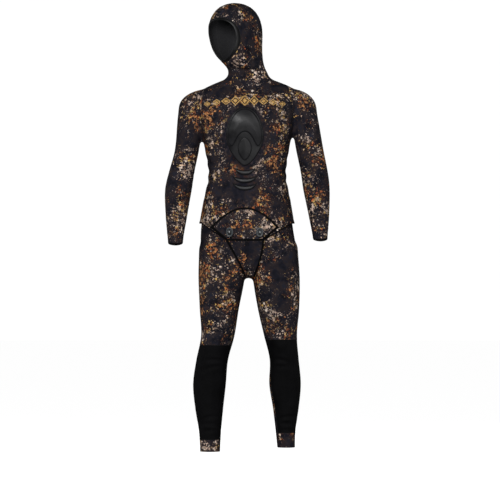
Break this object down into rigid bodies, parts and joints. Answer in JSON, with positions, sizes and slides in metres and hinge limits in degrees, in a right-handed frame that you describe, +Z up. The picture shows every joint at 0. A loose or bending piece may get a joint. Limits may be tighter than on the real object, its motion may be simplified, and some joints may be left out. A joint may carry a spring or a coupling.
{
  "type": "two-piece hooded wetsuit",
  "caption": "Camouflaged freediving wetsuit as worn: hooded jacket with a chest pad and a clip-up beavertail, over high-waist trousers with plain knee and shin panels.",
  "frame": {"origin": "middle of the wearer's waist, inside the suit, where the wearer's body holds it", "axes": "+Z up along the standing wearer, -Y the way the wearer's chest faces, +X the wearer's left"},
  "size_m": [0.6092, 0.2702, 1.659],
  "materials": {
    "camouflage_jersey": "nylon jersey laminated on neoprene, printed with a speckled camouflage of cream, rust and gold on black",
    "black_jersey": "plain black hard-wearing nylon jersey",
    "smooth_skin": "smooth unlined neoprene skin, soft satin",
    "pad_rubber": "moulded dark grey rubber, satin, fine texture",
    "clip_plastic": "moulded grey nylon",
    "clip_metal": "stainless rivet head"
  },
  "bodies": {
    "suit": {"jacket_front_upper_panel": "camouflage_jersey", "jacket_front_lower_panel": "camouflage_jersey", "jacket_back_upper_panel": "camouflage_jersey", "jacket_back_lower_panel": "camouflage_jersey", "hood_left_panel": "camouflage_jersey", "hood_right_panel": "camouflage_jersey", "beavertail_back": "camouflage_jersey", "left_sleeve_front_panel": "camouflage_jersey", "left_sleeve_back_panel": "camouflage_jersey", "left_thigh_front_panel": "camouflage_jersey", "left_thigh_back_panel": "camouflage_jersey", "left_calf_panel": "camouflage_jersey", "left_ankle_cuff": "camouflage_jersey", "left_wrist_cuff": "camouflage_jersey", "right_sleeve_front_panel": "camouflage_jersey", "right_sleeve_back_panel": "camouflage_jersey", "right_thigh_front_panel": "camouflage_jersey", "right_thigh_back_panel": "camouflage_jersey", "right_calf_panel": "camouflage_jersey", "right_ankle_cuff": "camouflage_jersey", "right_wrist_cuff": "camouflage_jersey", "trouser_waist_front_panel": "black_jersey", "trouser_waist_back_panel": "black_jersey", "left_knee_shin_pad": "black_jersey", "right_knee_shin_pad": "black_jersey", "hood_face_seal": "smooth_skin", "chest_pad_base": "pad_rubber", "chest_pad_arch": "pad_rubber", "chest_pad_core": "pad_rubber", "abdomen_rib_upper": "pad_rubber", "abdomen_rib_middle": "pad_rubber", "abdomen_rib_lower": "pad_rubber", "left_clip_post": "clip_plastic", "left_clip_rivet": "clip_metal", "right_clip_post": "clip_plastic", "right_clip_rivet": "clip_metal"},
    "beavertail": {"beavertail_front": "camouflage_jersey", "left_clip_eyelet": "clip_plastic", "right_clip_eyelet": "clip_plastic"},
    "left_knob": {"left_clip_knob": "clip_plastic"},
    "right_knob": {"right_clip_knob": "clip_plastic"}
  },
  "joints": [
    {"name": "beavertail_fold", "type": "hinge", "parent": "suit", "child": "beavertail", "pos_m": [0.009, -0.08303, -0.352], "axis": [1, 0, 0], "range_deg": [0, 150]},
    {"name": "left_knob_twist", "type": "hinge", "parent": "suit", "child": "left_knob", "pos_m": [0.04611, -0.12241, -0.22211], "axis": [0.0762, -0.9942, -0.0763], "range_deg": [0, 90]},
    {"name": "right_knob_twist", "type": "hinge", "parent": "suit", "child": "right_knob", "pos_m": [-0.06325, -0.12094, -0.22216], "axis": [-0.1549, -0.9847, -0.0797], "range_deg": [0, 90]}
  ]
}
